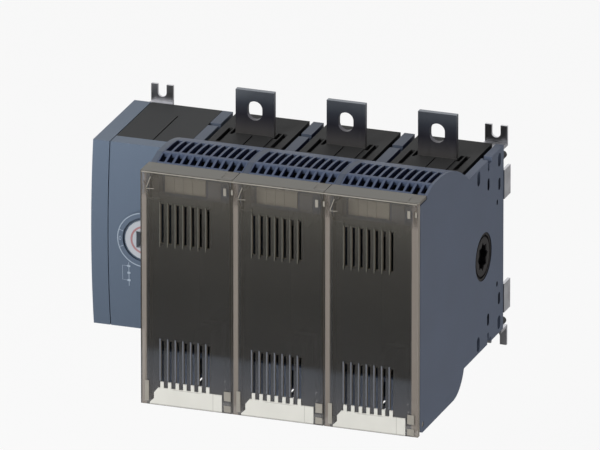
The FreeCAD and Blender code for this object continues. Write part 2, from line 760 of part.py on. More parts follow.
def contact_rotor(pole):
    """The insulating drum that carries both bridges and runs in the housing's bores."""
    body = new_body(f"contact_rotor_{pole}", pole_x(pole))
    pad(body, "YZ_Plane", "-drum_length / 2", "drum_length", [[
        (f"-shaft_depth + drum_radius * cos({angle} * 1 deg)", f"drum_radius * sin({angle} * 1 deg)")
        for angle in (22.5, 67.5, 112.5, 157.5, 202.5, 247.5, 292.5, 337.5)]])
    for end in ("-case_half", "drum_length / 2"):
        pad(body, "YZ_Plane", end, "case_half - drum_length / 2",
            [("circle", "-shaft_depth", "0", "journal_radius")])
    pocket(body, "YZ_Plane", "-pole_pitch", "2 * pole_pitch",
           [centred("-shaft_depth", "0", "shaft_square", "shaft_square")])
    pocket(body, "YZ_Plane", "-bridge_thick / 2", "bridge_thick", [bridge_outline(1)])
    pocket(body, "YZ_Plane", "-bridge_thick / 2", "bridge_thick", [bridge_outline(-1)])


def bridge_outline(way):
    """A sector plate, in front of the shaft for way 1 and behind it for way -1."""
    lean = "bridge_half_angle"
    sign = "-" if way > 0 else "+"
    turn = "left"
    inner = f"-shaft_depth {sign} bridge_root * cos({lean} * 1 deg)"
    outer = f"-shaft_depth {sign} bridge_radius * cos({lean} * 1 deg)"
    low_in = f"bridge_root * sin({lean} * 1 deg)"
    low_out = f"bridge_radius * sin({lean} * 1 deg)"
    top, bottom = ("", "-") if way > 0 else ("-", "")
    return [
        (inner, f"{top}{low_in}"),
        (outer, f"{top}{low_out}", "bridge_radius", turn),
        (outer, f"{bottom}{low_out}"),
        (inner, f"{bottom}{low_in}", "bridge_root", "right"),
    ]


def contact_bridge(name, pole, way):
    """A copper bridge that joins two pairs of jaws when the shaft turns it upright."""
    body = new_body(name, pole_x(pole))
    pad(body, "YZ_Plane", "-bridge_thick / 2", "bridge_thick", [bridge_outline(way)])


def switch_shaft():
    """The square shaft through the three rotors."""
    body = new_body("switch_shaft")
    start = "dial_place + gear_back"
    pad(body, "YZ_Plane", start, f"hub_start - ({start})",
        [centred("-shaft_depth", "0", "shaft_square", "shaft_square")])


def star_outline():
    """Two squares turned by an eighth of a turn, as one outline of sixteen corners."""
    corners = []
    for step in range(16):
        share = 1.0 if step % 2 == 0 else math.cos(math.pi / 4) / math.cos(math.pi / 8)
        angle = 22.5 * step
        corners.append((
            f"-shaft_depth + star_radius * {share:.5f} * cos({angle} * 1 deg)",
            f"star_radius * {share:.5f} * sin({angle} * 1 deg)",
        ))
    return corners


def shaft_end_hub():
    """The round hub seen in the right wall, with its star-shaped socket."""
    body = new_body("shaft_end_hub")
    pad(body, "YZ_Plane", "hub_start", "hub_length", [("circle", "-shaft_depth", "0", "hub_radius")])
    pocket(body, "YZ_Plane", "hub_end - star_depth", "2 * star_depth", [star_outline()])
    pocket(body, "YZ_Plane", "hub_end - hub_ring_cut", "2 * hub_ring_cut", [
        ("circle", "-shaft_depth", "0", "hub_radius - hub_ring"),
        ("circle", "-shaft_depth", "0", "hub_radius - 2 * hub_ring"),
    ])


def ring_of_points(radius, sides, height):
    """A regular polygon about Z."""
    corners = []
    for step in range(sides):
        angle = 2 * math.pi * (step + 0.5) / sides
        corners.append(FreeCAD.Vector(radius * math.cos(angle), radius * math.sin(angle), height))
    return corners


def tapered_block(corners, near):
    """A block with flat sides between an outline and its copy scaled towards the origin."""
    small = [corner * near for corner in corners]
    sides = [Part.makePolygon([corners[at - 1], corners[at], small[at], small[at - 1], corners[at - 1]])
             for at in range(len(corners))]
    ends = [Part.makePolygon(ring + ring[:1]) for ring in (corners, small)]
    return Part.Solid(Part.Shell([Part.Face(wire) for wire in sides + ends]))


def bevel_gear(name, turn, phase):
    """A mitre gear about Z with its teeth running to the apex at the origin, then turned."""
    radius = value("gear_radius")
    face = value("gear_face")
    height = value("tooth_height")
    teeth = int(value("gear_teeth"))
    near = (radius - face) / radius
    root = radius - height
    sides = 2 * teeth
    rim = ring_of_points(root, sides, radius)
    cone = tapered_block(rim, near)
    hub = Part.Face(Part.makePolygon(rim + rim[:1])).extrude(FreeCAD.Vector(0, 0, value("gear_hub")))
    half = math.pi / teeth * value("tooth_share") * radius
    foot = root * 0.9
    tip = radius + height * 0.75
    tooth = tapered_block([
        FreeCAD.Vector(foot, -half * 1.25, radius),
        FreeCAD.Vector(foot, half * 1.25, radius),
        FreeCAD.Vector(tip, half * 0.6, radius),
        FreeCAD.Vector(tip, -half * 0.6, radius),
    ], near)
    ring = []
    for index in range(teeth):
        copy = tooth.copy()
        copy.rotate(FreeCAD.Vector(0, 0, 0), FreeCAD.Vector(0, 0, 1), 360.0 * (index + phase) / teeth)
        ring.append(copy)
    shape = cone.fuse([hub] + ring).removeSplitter()
    gear = doc.addObject("Part::Feature", name)
    gear.Label = name
    gear.Shape = shape
    apex = FreeCAD.Vector(value("dial_place"), -value("shaft_depth"), value("case_rise"))
    gear.Placement = FreeCAD.Placement(apex, turn)
    parts.append(gear)


def drive_outline():
    """The drive's convex side view."""
    return [
        ("-rear_gap", "-slab_half"),
        ("-rear_gap", "slab_half"),
        ("-drive_edge", "slab_half", "panel_radius", "left"),
        ("-drive_edge", "-slab_half"),
    ]


def drive_side_shell():
    """The outer left shell that wraps round the front and the top."""
    body = new_body("drive_side_shell")
    pad(body, "YZ_Plane", "drive_left", "shell_width", [drive_outline()])
    pocket(body, "YZ_Plane", "drive_left + shell_wall", "shell_width", [[
        ("-rear_gap - shell_wall", "-slab_half + shell_wall"),
        ("-rear_gap - shell_wall", "slab_half - shell_wall"),
        ("-drive_edge + shell_wall", "slab_half - shell_wall", "panel_radius", "left"),
        ("-drive_edge + shell_wall", "-slab_half + shell_wall"),
    ]])


def drive_front_panel():
    """The bulged front panel with the dial's bore and raised ring."""
    body = new_body("drive_front_panel")
    span = "drive_inner - (panel_left)"
    pad(body, "YZ_Plane", "panel_left", span, [[
        ("-panel_rear", "slab_half"),
        ("-drive_edge", "slab_half", "panel_radius", "left"),
        ("-drive_edge", "-slab_half"),
        ("-panel_rear", "-slab_half"),
        ("-panel_rear", "-slab_half + panel_wall"),
        ("-drive_edge + panel_wall", "-slab_half + panel_wall", "panel_radius", "right"),
        ("-drive_edge + panel_wall", "slab_half - panel_wall"),
        ("-panel_rear", "slab_half - panel_wall"),
    ]])
    pad(body, "XZ_Plane", "panel_inside", "dial_front - panel_inside",
        [("circle", "dial_place", "0", "ring_radius")])
    pocket(body, "XZ_Plane", "drive_edge + panel_wall", "dial_front",
           [("circle", "dial_place", "0", "ring_inner")])
    pocket(body, "XZ_Plane", "drive_edge - 2 * panel_wall", "dial_front",
           [("circle", "dial_place", "0", "dial_radius + run_gap")])


def drive_case():
    """The tray behind the front panel that holds the gears."""
    body = new_body("drive_case")
    pad(body, "XZ_Plane", "rear_gap", "tray_front - rear_gap",
        [rectangle("panel_left", "-slab_half", "drive_inner", "slab_half")])
    pocket(body, "XZ_Plane", "rear_gap + case_side", "drive_edge", [
        rectangle("panel_left + case_side", "-slab_half + case_side",
                  "drive_inner - case_side", "slab_half - case_side")])
    pocket(body, "YZ_Plane", "drive_inner - 2 * case_side", "3 * case_side",
           [("circle", "-shaft_depth", "0", "journal_radius + bore_room")])
    pocket(body, "XY_Plane", "slab_half - seam_depth", "2 * seam_depth",
           [rectangle("dial_place - seam_width / 2", "-tray_front",
                      "dial_place + seam_width / 2", "-tray_front + seam_length")])


def drive_dial():
    """The turning disc with its square socket and shank."""
    body = new_body("drive_dial")
    gear_back = "shaft_depth + gear_back"
    back = "panel_inside - flange_sag - fit_gap"
    pad(body, "XZ_Plane", back, f"dial_front - ({back})", [("circle", "dial_place", "0", "dial_radius")])
    pad(body, "XZ_Plane", f"{back} - flange_thick", "flange_thick",
        [("circle", "dial_place", "0", "flange_radius")])
    pad(body, "XZ_Plane", gear_back, f"{back} - flange_thick - ({gear_back})",
        [("circle", "dial_place", "0", "dial_shank")])
    pocket(body, "XZ_Plane", "dial_front - socket_depth", "2 * socket_depth",
           [centred("dial_place", "0", "socket_square", "socket_square")])


def across(side, near, low, far, high):
    """A rectangle whose X runs outwards to that side: -1 is left and 1 is right."""
    return [(f"{side} * ({near})", low), (f"{side} * ({far})", low),
            (f"{side} * ({far})", high), (f"{side} * ({near})", high)]


def mounting_bracket(name, x, side):
    """A folded steel bracket with an open slot at each end and two ears on its outer edge."""
    body = new_body(name, x, "0")
    inner = "-tab_width / 2"
    outer = "tab_width / 2 + flange_out"
    pad(body, "XZ_Plane", "rear_gap - sheet", "sheet",
        [across(side, inner, "-bracket_half", f"{inner} + rail_width", "bracket_half")])
    web = pad(body, "XZ_Plane", "rear_gap - sheet", "sheet",
              [across(side, inner, "flange_low", outer, "flange_high")])
    mirror(body, web, "XY_Plane")
    fold = pad(body, "XZ_Plane", "0", "rear_gap",
               [rectangle("-tab_width / 2", "bracket_half - sheet", "tab_width / 2", "bracket_half")])
    mirror(body, fold, "XY_Plane")
    tab = pad(body, "XZ_Plane", "0", "sheet",
              [rectangle("-tab_width / 2", "bracket_half - sheet", "tab_width / 2", "tab_reach")])
    mirror(body, tab, "XY_Plane")
    reach = "mount_slot / 2"
    slot = pocket(body, "XZ_Plane", "-sheet", "3 * sheet", [[
        (reach, "slot_span_z / 2"),
        (reach, "tab_reach + sheet"),
        (f"-{reach}", "tab_reach + sheet"),
        (f"-{reach}", "slot_span_z / 2", f"{reach} * 1.0001", "left"),
    ]])
    mirror(body, slot, "XY_Plane")
    ear = pad(body, "XZ_Plane", "0", "rear_gap",
              [across(side, f"{outer} - sheet", "flange_low", outer, "flange_high")])
    mirror(body, ear, "XY_Plane")


def several_solids(name, x, z="case_rise"):
    """A body whose like pieces are separate solids."""
    body = new_body(name, x, z)
    body.AllowCompound = True
    return body


def rear_feet(name, x):
    """Two stub feet on the back of an outer wall."""
    body = several_solids(name, x, "0")
    foot = pad(body, "XZ_Plane", "rear_gap - foot_length", "foot_length",
               [("circle", "0", "foot_height", "foot_radius")])
    mirror(body, foot, "XY_Plane")


def grip_bands(pole):
    """The spring bands that hold each pair of grip plates together."""
    body = several_solids(f"grip_bands_{pole}", pole_x(pole))
    wide = "grip_gap + 2 * grip_plate"
    middle = "grip_rear + grip_length / 2 - band_width / 2"
    band = pad(body, "XZ_Plane", middle, "band_width", [
        centred("0", "strap_height", f"{wide} + 2 * band_thick", "grip_height + 2 * band_thick"),
        centred("0", "strap_height", wide, "grip_height"),
    ])
    mirror(body, band, "XY_Plane")


right_side_wall()
for number in POLES:
    partition(number)
    upper_vent(number)
    lower_vent(number)
    switch_case(number)
    switch_base(number)
    terminal(f"line_terminal_{number}", number, False)
    terminal(f"load_terminal_{number}", number, True)
    fuse_contact(f"upper_fuse_contact_{number}", number, False)
    fuse_contact(f"lower_fuse_contact_{number}", number, True)
    fuse_cover(number)
    cover_label(number)
    grip_bands(number)
    contact_rotor(number)
    contact_bridge(f"load_bridge_{number}", number, 1)
    contact_bridge(f"line_bridge_{number}", number, -1)
switch_shaft()
shaft_end_hub()
drive_side_shell()
drive_front_panel()
drive_case()
drive_dial()
FORWARD = FreeCAD.Rotation(FreeCAD.Vector(1, 0, 0), 90)
SIDEWAYS = FreeCAD.Rotation(FreeCAD.Vector(0, 1, 0), 90)
bevel_gear("drive_gear", FORWARD, 0.0)
# The tooth of the drive gear that points at the shaft gear meets a gap three quarters round it.
bevel_gear("shaft_gear", SIDEWAYS, 0.5 - 0.75 * value("gear_teeth"))
mounting_bracket("mounting_bracket_left", "-slot_span_x / 2", -1)
mounting_bracket("mounting_bracket_right", "slot_span_x / 2", 1)
rear_feet("rear_feet_left", "drive_left + foot_inset")
rear_feet("rear_feet_right", "wall_x - foot_inset")

doc.recompute()
for item in doc.Objects:
    if "Invalid" in item.State or "Error" in item.State:
        raise RuntimeError(f"{item.Label}: {item.State}")
for part in parts:
    if part.Shape.isNull() or not part.Shape.isValid():
        raise RuntimeError(f"{part.Label} has no valid shape")

os.makedirs("parts", exist_ok=True)
for part in parts:
    part.Shape.exportStep(f"parts/{part.Label}.step")
    print(part.Label, len(part.Shape.Solids), round(part.Shape.Volume, 1))
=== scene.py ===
import json
import math

import bmesh
import bpy
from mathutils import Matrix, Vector


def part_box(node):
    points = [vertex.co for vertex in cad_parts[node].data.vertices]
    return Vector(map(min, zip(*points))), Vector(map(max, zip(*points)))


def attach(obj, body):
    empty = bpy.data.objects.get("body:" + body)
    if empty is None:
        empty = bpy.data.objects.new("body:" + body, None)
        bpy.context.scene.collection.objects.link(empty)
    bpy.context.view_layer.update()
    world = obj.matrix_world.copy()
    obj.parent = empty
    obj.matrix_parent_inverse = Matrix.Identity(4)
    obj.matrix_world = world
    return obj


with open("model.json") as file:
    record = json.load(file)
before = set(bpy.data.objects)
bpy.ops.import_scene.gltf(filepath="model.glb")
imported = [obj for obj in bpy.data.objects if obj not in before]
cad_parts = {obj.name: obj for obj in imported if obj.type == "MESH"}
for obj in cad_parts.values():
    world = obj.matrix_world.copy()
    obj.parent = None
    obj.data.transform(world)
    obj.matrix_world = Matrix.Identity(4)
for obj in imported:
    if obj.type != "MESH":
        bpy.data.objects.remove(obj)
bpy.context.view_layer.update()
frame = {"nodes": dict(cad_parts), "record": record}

MM = 0.001
POLES = (1, 2, 3)

# Faces that the materials refer to, in m.
WALL_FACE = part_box("right_side_wall")[1][0]
HUB_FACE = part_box("shaft_end_hub")[1][0]

# The dial's front and middle, in mm.
DIAL_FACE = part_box("drive_dial")[0][1] / MM
DIAL_PLACE = tuple(sum(corner[axis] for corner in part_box("drive_dial")) / 2 / MM for axis in (0, 2))

# The drive's front panel bulges, with this depth at the dial, in mm.
PANEL_DEPTH = -100.6
PANEL_RADIUS = 490.0

# Where the ribs beside a cover's slots stand, in mm from the cover's left edge.
SLOTS = 7
SLOT_FIRST = 15.9
SLOT_PITCH = 5.5
RIB_BEFORE_SLOT = 1.7
RIB_PLACES = [SLOT_FIRST - RIB_BEFORE_SLOT + SLOT_PITCH * index for index in range(SLOTS)]

# Heights of the raised marks in mm, and how deep the foot of each is sunk.
COVER_MARK = 0.09
SILL_STEP = 0.3
HEAD_STEP = 0.4
PRINTED = 0.15
FOOT = 0.15

# Surfaces: distance of the fine grain in m, its scale, and the scales of rolled streaks.
GRAIN = 0.00002
FINE_GRAIN = 0.00001
GRAIN_SCALE = 2600.0
STREAKS = (900.0, 900.0, 60.0)
SHEEN = 0.25
LOW_SHEEN = 0.12

WHITE = (1.0, 1.0, 1.0, 1.0)
FLOOR_GREY = (0.8, 0.8, 0.8, 1.0)
FLOOR_HEIGHT = -0.30
FLOOR_GLOW = 0.9
LAMP_TARGET = (0, -0.1, 0)
LAMPS = (
    # name, place, size, power
    ("key", (-0.6, -1.5, 0.8), 0.8, 21.0),
    ("fill", (1.7, -1.1, 0.1), 1.4, 6.5),
    ("top", (0.3, 0.2, 1.6), 1.0, 1.0),
)

CAMERA_AZIMUTH = math.radians(19.5)
CAMERA_ELEVATION = math.radians(20.4)
CAMERA_TARGET = Vector((0.0139, -0.100, 0.0280))
CAMERA_DISTANCE = 13.63
CAMERA_LENS = 1200.0


def linear(red, green, blue):
    """Shader colour of an sRGB colour given in 0 to 255."""
    def one(level):
        level /= 255.0
        return level / 12.92 if level <= 0.04045 else ((level + 0.055) / 1.055) ** 2.4
    return (one(red), one(green), one(blue), 1.0)


def scaled(colour, factor):
    return tuple(min(1.0, channel * factor) for channel in colour[:3]) + (1.0,)


class Nodes:
    """A node tree, and short calls to add to it."""

    def __init__(self, tree):
        self.tree = tree

    def add(self, kind, **values):
        """A new node, with values for its inputs."""
        node = self.tree.nodes.new(f"ShaderNode{kind}")
        for key, value in values.items():
            node.inputs[key.replace("_", " ")].default_value = value
        return node

    def join(self, output, socket):
        self.tree.links.new(output, socket)

    def rescale(self, source, low, high, from_low=0.0, from_high=1.0):
        node = self.add("MapRange", From_Min=from_low, From_Max=from_high, To_Min=low, To_Max=high)
        self.join(source, node.inputs["Value"])
        return node.outputs["Result"]

    def maths(self, operation, *sources):
        node = self.add("Math")
        node.operation = operation
        for socket, source in zip(node.inputs, sources):
            if isinstance(source, float):
                socket.default_value = source
            else:
                self.join(source, socket)
        return node.outputs["Value"]

    def axis(self, vector, name):
        node = self.add("SeparateXYZ")
        self.join(vector, node.inputs["Vector"])
        return node.outputs[name]

    def mix_surfaces(self, factor, first, second, end):
        """Ends the tree with two surfaces mixed."""
        node = self.add("MixShader")
        for socket, source in zip(node.inputs, (factor, first, second)):
            self.join(source, socket)
        self.join(node.outputs["Shader"], self.tree.nodes[end].inputs["Surface"])


class Shader(Nodes):
    """A material's node tree with one Principled surface."""

    def __init__(self, name):
        self.material = bpy.data.materials.new(name)
        self.material.use_nodes = True
        super().__init__(self.material.node_tree)
        self.surface = self.tree.nodes["Principled BSDF"]
        places = self.add("TexCoord")
        self.place = places.outputs["Object"]
        self.normal = places.outputs["Normal"]

    def set(self, **values):
        for key, value in values.items():
            self.surface.inputs[key.replace("_", " ")].default_value = value

    def stretched(self, scales):
        """Object coordinates scaled unevenly, for streaks."""
        mapping = self.add("Mapping", Scale=scales)
        self.join(self.place, mapping.inputs["Vector"])
        return mapping.outputs["Vector"]

    def noise(self, scale, detail=2.0, place=None):
        node = self.add("TexNoise", Scale=scale, Detail=detail)
        self.join(place or self.place, node.inputs["Vector"])
        return node.outputs["Fac"]

    def ramp(self, source, stops):
        node = self.add("ValToRGB")
        elements = node.color_ramp.elements
        while len(elements) < len(stops):
            elements.new(0.5)
        for element, (position, colour) in zip(elements, stops):
            element.position = position
            element.color = colour
        self.join(source, node.inputs["Fac"])
        return node.outputs["Color"]

    def facing(self, name, low=0.6, high=0.9):
        """1 on faces square to an axis of the object, 0 on the others."""
        size = self.maths("ABSOLUTE", self.axis(self.normal, name))
        return self.rescale(size, 0.0, 1.0, low, high)

    def above(self, name, level, soft=0.1 * MM):
        """1 beyond a level along one axis of the object, 0 before it."""
        return self.rescale(self.axis(self.place, name), 0.0, 1.0, level, level + soft)

    def below(self, name, level, soft=0.1 * MM):
        """1 before a level along one axis of the object, 0 beyond it."""
        return self.rescale(self.axis(self.place, name), 1.0, 0.0, level, level + soft)

    def band(self, name, centre, half):
        """1 within a half width of a place along one axis of the object, 0 beyond."""
        away = self.maths("ABSOLUTE", self.maths("SUBTRACT", self.axis(self.place, name), centre))
        return self.rescale(away, 1.0, 0.0, 0.8 * half, 1.1 * half)

    def mix(self, factor, first, second):
        """Between two colours, each a tuple or a socket."""
        node = self.add("Mix")
        node.data_type = "RGBA"
        self.join(factor, node.inputs["Factor"])
        for name, source in (("A", first), ("B", second)):
            socket = [one for one in node.inputs if one.name == name and one.type == "RGBA"][0]
            if isinstance(source, tuple):
                socket.default_value = source
            else:
                self.join(source, socket)
        return [one for one in node.outputs if one.type == "RGBA"][0]

    def bump(self, height, distance):
        node = self.add("Bump", Distance=distance, Strength=1.0)
        self.join(height, node.inputs["Height"])
        self.join(node.outputs["Normal"], self.surface.inputs["Normal"])

    def end_plastic(self, tint, cloud, rough, grain, sheen):
        """The material of a plastic, whose roughness follows a cloud between two values."""
        self.join(tint, self.surface.inputs["Base Color"])
        self.join(self.rescale(cloud, *rough), self.surface.inputs["Roughness"])
        self.bump(self.noise(GRAIN_SCALE), grain)
        self.set(Specular_IOR_Level=sheen)
        return self.material

    def end_metal(self, tint, rough):
        """The material of a rolled metal, whose streaks are rough between two values."""
        self.join(tint, self.surface.inputs["Base Color"])
        streak = self.noise(1.0, 3.0, self.stretched(STREAKS))
        self.join(self.rescale(streak, *rough), self.surface.inputs["Roughness"])
        self.bump(streak, GRAIN)
        self.set(Metallic=1.0)
        return self.material


def moulded(name, colour, roughness, grain=GRAIN, vary=0.05, sheen=SHEEN, shade=None, where=None,
            painted_top_light=False):
    """Matt moulded plastic with a fine grain.

    It can have painted shade, a second colour where a mask says, or else on faces square to X. With
    painted_top_light it is a little darker towards its foot and lighter towards its top, as painted light
    from above.
    """
    shader = Shader(name)
    cloud = shader.noise(35.0, 3.0)
    tint = shader.ramp(cloud, [(0.3, scaled(colour, 1 - vary)), (0.7, scaled(colour, 1 + vary))])
    # Painted shade on the faces that the mask gives.
    if shade:
        tint = shader.mix(where(shader) if where else shader.facing("X"), tint, shade)
    # Painted light: lighter towards the top and darker towards the foot, as if lit from above.
    if painted_top_light:
        height = shader.rescale(shader.axis(shader.place, "Z"), 0.0, 1.0, -64.0 * MM, 70.0 * MM)
        tint = shader.mix(height, scaled(colour, 0.84), scaled(colour, 1.14))
    return shader.end_plastic(tint, cloud, (roughness - 0.05, roughness + 0.05), grain, sheen)


def label_plastic(name, left):
    """Pale moulded label strip with a fine scored field, whose grooves are darkened as painted shade, left
    being its first X.
    """
    shader = Shader(name)
    cloud = shader.noise(40.0, 3.0)
    pale = shader.ramp(cloud, [(0.3, linear(203, 202, 195)), (0.7, linear(210, 209, 202))])
    # Painted shade in the label's groove, its parting line and its fold.
    line = shader.maths("MULTIPLY", shader.band("Z", -67.4 * MM, 0.25 * MM),
                        shader.band("X", left + 27.0 * MM, 10.5 * MM))
    parting = shader.band("X", left + 45.6 * MM, 0.25 * MM)
    fold = shader.band("Z", -79.0 * MM, 0.5 * MM)
    groove_shade = shader.maths("MAXIMUM", shader.maths("MAXIMUM", line, parting), fold)
    tint = shader.mix(groove_shade, pale, linear(176, 174, 168))
    return shader.end_plastic(tint, cloud, (0.35, 0.45), FINE_GRAIN, SHEEN)


def sheet_metal(name, colour, roughness, dark_front_reflection=None):
    """Rolled metal with a cloudy surface, which can have a painted dark reflection where it faces the
    front.
    """
    shader = Shader(name)
    cloud = shader.noise(90.0, 4.0)
    tint = shader.ramp(cloud, [(0.3, scaled(colour, 0.82)), (0.7, scaled(colour, 1.15))])
    if dark_front_reflection:
        tint = shader.mix(shader.facing("Y"), tint, dark_front_reflection)
    return shader.end_metal(tint, (roughness - 0.08, roughness + 0.1))


def plated_lug(name):
    """Dull plated copper with a rolled grain, its bands along the height a painted reflection, darkest
    between the hole and the housing.
    """
    shader = Shader(name)
    height = shader.maths("ABSOLUTE", shader.axis(shader.place, "Z"))
    along = shader.rescale(height, 0.0, 1.0, 70.0 * MM, 102.0 * MM)
    # Painted reflection: dark and pale bands along the lug's height.
    tint = shader.ramp(along, [
        (0.0, linear(118, 115, 112)),
        (0.2, linear(100, 97, 98)),
        (0.45, linear(66, 64, 73)),
        (0.7, linear(88, 92, 101)),
        (0.85, linear(112, 118, 125)),
        (1.0, linear(128, 133, 139)),
    ])
    cloud = shader.noise(70.0, 4.0)
    tint = shader.mix(shader.rescale(cloud, 0.0, 0.25), tint, linear(112, 114, 122))
    return shader.end_metal(tint, (0.34, 0.5))


def smoked_cover(name, left, right):
    """Smoked polycarbonate: dark over its face, paler at its foot and head, with painted highlights.

    Its head has a painted highlight along its top, as well as the fuse head showing through. A painted
    highlight lies on the band where a wall stands behind it at its left, and at its right too if that is
    the end of the row. Faces square to X carry painted light.
    """
    shader = Shader(name)
    along = shader.rescale(shader.axis(shader.place, "Z"), 0.0, 1.0, -80.0 * MM, 90.0 * MM)
    # Paler at the head, partly the fuse head showing through and partly a painted highlight along the top.
    face = shader.ramp(along, [
        (0.0, linear(96, 94, 92)),
        (0.12, linear(80, 81, 85)),
        (0.22, linear(68, 71, 76)),
        (0.25, linear(40, 39, 38)),
        (0.5, linear(37, 36, 33)),
        (0.74, linear(50, 48, 44)),
        (0.87, linear(68, 66, 60)),
        (0.93, linear(96, 92, 86)),
        (1.0, linear(108, 104, 96)),
    ])
    cloud = shader.noise(22.0, 2.0)
    face = shader.mix(shader.rescale(cloud, 0.0, 0.3), face, linear(60, 58, 54))
    # Painted highlight on the band where the cover's wall stands behind the face.
    wall = shader.maths("MULTIPLY", shader.above("X", left + 0.6 * MM, 0.6 * MM),
                        shader.below("X", left + 3.9 * MM, 0.6 * MM))
    if right is not None:
        wall = shader.maths("MAXIMUM", wall, shader.above("X", right - 5.4 * MM, 1.0 * MM))
    face = shader.mix(wall, face, linear(138, 130, 122))
    front = shader.facing("Y", 0.75, 0.95)
    # Painted light on the faces square to X, and the top's own colour on faces square to Z.
    edge = shader.mix(shader.facing("Z"), linear(150, 142, 130), linear(98, 95, 86))
    shader.join(shader.mix(front, edge, face), shader.surface.inputs["Base Color"])
    solid = shader.rescale(front, 0.9, 0.72)
    clear = shader.maths("MULTIPLY", front, shader.rescale(along, 0.0, 0.36, 0.88, 0.92))
    shader.join(shader.maths("SUBTRACT", solid, clear), shader.surface.inputs["Alpha"])
    shader.set(Roughness=0.14, Specular_IOR_Level=SHEEN)
    return shader.material


def rear_sides(shader):
    """The sides of a partition beside the switch housings, where shade is painted."""
    return shader.maths("MULTIPLY", shader.facing("X"), shader.above("Y", -86.0 * MM))


def wall_pockets(shader):
    """What lies inside the side wall's slots and holes, where shade is painted."""
    inside = shader.maths("MULTIPLY", shader.below("X", WALL_FACE - 0.2 * MM),
                          shader.band("Y", -44.0 * MM, 28.0 * MM))
    return shader.maths("MULTIPLY", inside, shader.band("Z", 3.4 * MM, 60.0 * MM))


def hub_socket(shader):
    """What lies inside the hub's socket, where shade is painted."""
    return shader.below("X", HUB_FACE - 0.7 * MM)


# Painted shade: the sides of slots and partitions, the wall's pockets, the housings' sides and the hub's
# socket.
SHADE = linear(26, 33, 62)
POCKET_SHADE = linear(11, 14, 24)
GAP_SHADE = linear(12, 12, 14)
SOCKET_SHADE = linear(8, 7, 9)

SLATE = moulded("slate_plastic", linear(90, 98, 113), 0.5)
WALL = moulded("wall_plastic", linear(89, 98, 116), 0.5, shade=POCKET_SHADE, where=wall_pockets)
VENT = moulded("vent_plastic", linear(74, 85, 108), 0.5, shade=SHADE)
PARTITION = moulded("partition_plastic", linear(72, 80, 95), 0.5, shade=SHADE, where=rear_sides)
OUTER_PARTITION = moulded("outer_partition_plastic", linear(84, 93, 108), 0.5)
# The drive's slate has painted light: lighter at its top, darker at its foot.
DRIVE_SLATE = moulded("drive_slate_plastic", linear(90, 103, 120), 0.45, painted_top_light=True)
CHARCOAL = moulded("charcoal_plastic", linear(58, 59, 60), 0.62, sheen=LOW_SHEEN)
# The housings' faces square to X get painted shade.
CASE = moulded("case_plastic", linear(52, 52, 52), 0.62, sheen=LOW_SHEEN, shade=GAP_SHADE)
BLACK = moulded("black_plastic", linear(26, 26, 28), 0.5)
LABEL = {
    pole: label_plastic(f"label_plastic_{pole}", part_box(f"cover_label_{pole}")[0][0])
    for pole in POLES}
DIAL = moulded("dial_plastic", linear(178, 182, 188), 0.4, grain=FINE_GRAIN, vary=0.03)
RED = moulded("red_mark", linear(166, 122, 125), 0.45, grain=FINE_GRAIN)
PRINT = moulded("pale_print", linear(156, 168, 182), 0.5, grain=FINE_GRAIN, vary=0.03)
# Pale rim plastic for the blocks at a cover's foot, and painted highlights on its latch and top edge.
RIM_AND_HIGHLIGHT = moulded("cover_rim_and_highlight_plastic", linear(142, 138, 130), 0.25, grain=FINE_GRAIN, vary=0.12)
RIB = moulded("cover_rib_plastic", linear(84, 83, 76), 0.25, grain=FINE_GRAIN)
LOW_RIB = moulded("cover_low_rib_plastic", linear(98, 101, 108), 0.25, grain=FINE_GRAIN)
# Painted light: the sill's slate made paler, so that it looks lit behind the smoked cover.
LIT_SILL = moulded("lit_sill_plastic", linear(140, 151, 172), 0.5)
HEAD = moulded("fuse_head_plastic", linear(205, 196, 178), 0.5)
SMOKED = {
    pole: smoked_cover(f"smoked_cover_{pole}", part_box(f"fuse_cover_{pole}")[0][0],
                       WALL_FACE if pole == POLES[-1] else None)
    for pole in POLES}
CORNER = moulded("cover_corner_plastic", linear(100, 96, 88), 0.3, grain=FINE_GRAIN)
GUIDE = moulded("guide_plastic", linear(126, 125, 130), 0.5)
HUB = moulded("hub_plastic", linear(54, 52, 52), 0.55, sheen=LOW_SHEEN, shade=SOCKET_SHADE, where=hub_socket)
TIN = plated_lug("terminal_metal")
# Painted dark reflection on the zinc's faces turned to the front.
ZINC = sheet_metal("zinc_steel", linear(202, 202, 206), 0.36, dark_front_reflection=linear(112, 112, 114))
COPPER = sheet_metal("copper", linear(190, 120, 90), 0.35)

BY_SLOT = {
    "slate_plastic": SLATE,
    "charcoal_plastic": CHARCOAL,
    "smoked_plastic": SMOKED[1],
    "label_plastic": LABEL[1],
    "terminal_metal": TIN,
    "zinc_steel": ZINC,
    "rotor_plastic": BLACK,
    "copper": COPPER,
    "dial_plastic": DIAL,
}


def dress(node, material):
    """Gives a CAD node one material."""
    piece = frame["nodes"][node]
    if not piece.material_slots:
        piece.data.materials.append(material)
    for place in piece.material_slots:
        place.material = material


def dress_frame():
    """Gives every CAD node its slot's material, and some nodes one of their own."""
    for row in frame["record"]["subparts"]:
        dress(row["node"], BY_SLOT[row["material_slot"]])
    dress("drive_front_panel", DRIVE_SLATE)
    dress("drive_side_shell", DRIVE_SLATE)
    dress("right_side_wall", WALL)
    dress("shaft_end_hub", HUB)
    for pole in POLES:
        dress(f"upper_vent_{pole}", VENT)
        dress(f"lower_vent_{pole}", VENT)
        dress(f"partition_{pole}", OUTER_PARTITION if pole == 1 else PARTITION)
        dress(f"switch_case_{pole}", CASE)
        dress(f"switch_base_{pole}", CASE)
        dress(f"fuse_cover_{pole}", SMOKED[pole])
        dress(f"cover_label_{pole}", LABEL[pole])


